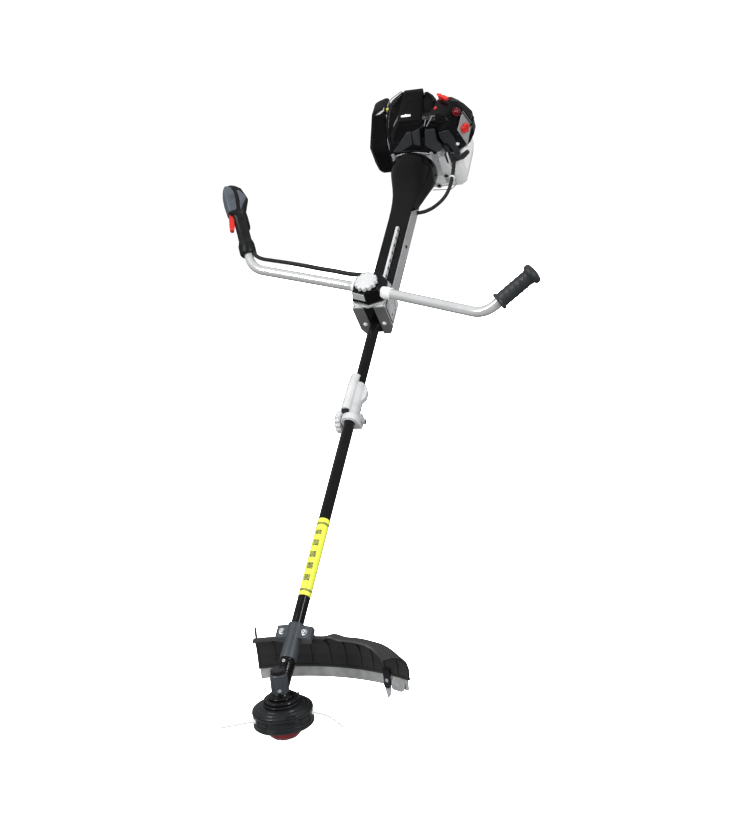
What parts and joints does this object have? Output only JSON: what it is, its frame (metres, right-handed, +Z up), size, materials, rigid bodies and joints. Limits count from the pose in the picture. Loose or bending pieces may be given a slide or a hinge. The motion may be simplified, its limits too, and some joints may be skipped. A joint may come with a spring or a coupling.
{
  "type": "string trimmer",
  "caption": "Petrol string trimmer with a split straight shaft, a wide bull-horn handlebar, a bump-feed line head under a curved guard, and a rear engine with a fuel tank.",
  "frame": {"origin": "centre of the bump knob's flat base, where the head touches the ground, on the cutting head's spindle axis", "axes": "+Z up along the spindle, +Y the ground direction in which the shaft rises at 40 degrees toward the engine, +X to the operator's left"},
  "size_m": [0.9218, 1.4755, 1.3612],
  "materials": {
    "knob_dark_red": "gloss",
    "plastic_matt_black": "satin",
    "plastic_gloss_black": "gloss",
    "tube_black": "gloss",
    "paint_grey": "satin",
    "cast_alloy": "cast",
    "bright_alloy": "brushed",
    "steel": "ground",
    "dark_steel": "satin",
    "rubber_black": "matt",
    "plastic_red": "satin",
    "plastic_grey": "satin",
    "tank_white": "translucent white",
    "nylon_line": "clear",
    "filter_foam": "foam"
  },
  "bodies": {
    "machine": {"upper_tube": "tube_black", "lower_tube": "tube_black", "long_cover": "plastic_gloss_black", "frame_channel": "bright_alloy", "shaft_bush": "rubber_black", "clamp_base": "cast_alloy", "front_plate": "paint_grey", "clamp_bolt": "steel", "harness_rail": "bright_alloy", "coupler_body": "cast_alloy", "coupler_bolt": "steel", "guard_clamp": "paint_grey", "guard": "plastic_matt_black", "guard_skirt": "plastic_grey", "line_cutter": "steel", "gear_case": "paint_grey", "crankcase": "cast_alloy", "cylinder": "cast_alloy", "engine_cover": "plastic_gloss_black", "muffler": "steel", "muffler_cover": "plastic_matt_black", "carburettor": "cast_alloy", "filter_base": "plastic_matt_black", "filter_element": "filter_foam", "filter_cover": "plastic_gloss_black", "starter_housing": "plastic_matt_black", "fuel_tank": "tank_white", "spark_plug": "plastic_matt_black", "engine_loom": "rubber_black"},
    "bar": {"handlebar": "bright_alloy", "clamp_jaw": "bright_alloy", "clamp_cap": "plastic_gloss_black", "left_grip": "rubber_black", "throttle_housing": "plastic_matt_black", "throttle_cable": "rubber_black"},
    "clamp_wheel": {"clamp_knob": "bright_alloy"},
    "trigger": {"throttle_trigger": "plastic_red"},
    "lockout": {"lockout_lever": "plastic_matt_black"},
    "switch": {"stop_switch": "plastic_grey"},
    "coupler_wheel": {"coupler_knob": "bright_alloy"},
    "head": {"output_shaft": "steel", "holder_discs": "dark_steel", "head_shell": "plastic_matt_black", "head_cover": "plastic_matt_black", "trimmer_line": "nylon_line"},
    "bump": {"bump_knob": "knob_dark_red", "spool": "plastic_matt_black", "bump_spring": "steel"},
    "drive": {"drive_shaft": "steel", "pinion_gear": "steel", "clutch_drum": "dark_steel"},
    "crank": {"crankshaft": "steel", "flywheel": "cast_alloy", "clutch_shoes": "dark_steel"},
    "piston": {"piston": "cast_alloy"},
    "filter_wheel": {"filter_knob": "plastic_red"},
    "primer": {"primer_bulb": "knob_dark_red"},
    "choke": {"choke_lever": "plastic_red"},
    "tank_cap": {"fuel_cap": "plastic_matt_black"},
    "pull_start": {"starter_handle": "plastic_matt_black"}
  },
  "joints": [
    {"name": "handlebar_swivel", "type": "hinge", "parent": "machine", "child": "bar", "pos_m": [0, 0.76172, 0.85151], "axis": [0, -0.6428, 0.766], "range_deg": [-73, 17.4]},
    {"name": "clamp_knob_turn", "type": "hinge", "parent": "machine", "child": "clamp_wheel", "pos_m": [0, 0.74308, 0.87372], "axis": [0, -0.6428, 0.766], "range_deg": [0, 720]},
    {"name": "throttle_pull", "type": "hinge", "parent": "bar", "child": "trigger", "pos_m": [-0.41667, 0.87519, 1.05946], "axis": [0.4599, -0.6736, 0.5786], "range_deg": [0, 11], "stiffness_Nm_per_rad": 1, "springref_deg": -8.59},
    {"name": "lockout_press", "type": "hinge", "parent": "bar", "child": "lockout", "pos_m": [-0.39383, 0.90282, 1.07347], "axis": [-0.4599, 0.6736, -0.5786], "range_deg": [0, 6], "stiffness_Nm_per_rad": 1, "springref_deg": -8.59},
    {"name": "stop_switch_slide", "type": "slide", "parent": "bar", "child": "switch", "axis": [-0.3539, 0.4585, 0.8152], "range_m": [0, 0.005]},
    {"name": "coupler_knob_turn", "type": "hinge", "parent": "machine", "child": "coupler_wheel", "pos_m": [-0.032, 0.56288, 0.5502], "axis": [-1, 0, 0], "range_deg": [0, 720]},
    {"name": "head_spin", "type": "hinge", "parent": "machine", "child": "head", "pos_m": [0, 0, 0.08], "axis": [0, 0, 1], "continuous": true},
    {"name": "bump_press", "type": "slide", "parent": "head", "child": "bump", "axis": [0, 0, 1], "range_m": [0, 0.006], "stiffness_N_per_m": 1500, "springref_m": -0.002, "deforming": ["bump_spring"]},
    {"name": "drive_spin", "type": "hinge", "parent": "machine", "child": "drive", "pos_m": [0, 0, 0.104], "axis": [0, 0.766, 0.6428], "continuous": true},
    {"name": "crank_spin", "type": "hinge", "parent": "machine", "child": "crank", "pos_m": [0, 1.28696, 1.18388], "axis": [0, 0.766, 0.6428], "continuous": true},
    {"name": "piston_stroke", "type": "slide", "parent": "machine", "child": "piston", "axis": [0, -0.6428, 0.766], "range_m": [-0.028, 0]},
    {"name": "filter_knob_turn", "type": "hinge", "parent": "machine", "child": "filter_wheel", "pos_m": [0.165, 1.20616, 1.24011], "axis": [0.8, -0.4596, -0.3857], "range_deg": [0, 720]},
    {"name": "primer_press", "type": "slide", "parent": "machine", "child": "primer", "axis": [-0.5701, 0.7794, -0.2599], "range_m": [0, 0.004], "stiffness_N_per_m": 400, "springref_m": -0.001},
    {"name": "choke_turn", "type": "hinge", "parent": "machine", "child": "choke", "pos_m": [0.1, 1.20887, 1.32984], "axis": [0, -0.6428, 0.766], "range_deg": [0, 45]},
    {"name": "fuel_cap_turn", "type": "hinge", "parent": "machine", "child": "tank_cap", "pos_m": [0.108, 1.387, 1.20778], "axis": [0, 0.766, 0.6428], "range_deg": [0, 540]},
    {"name": "starter_pull", "type": "slide", "parent": "machine", "child": "pull_start", "axis": [0, -0.6428, 0.766], "range_m": [0, 0.75], "stiffness_N_per_m": 15, "springref_m": -0.15}
  ],
  "couplings": [
    {"joint": "drive_spin", "follows": "head_spin", "ratio": -1.5}
  ]
}
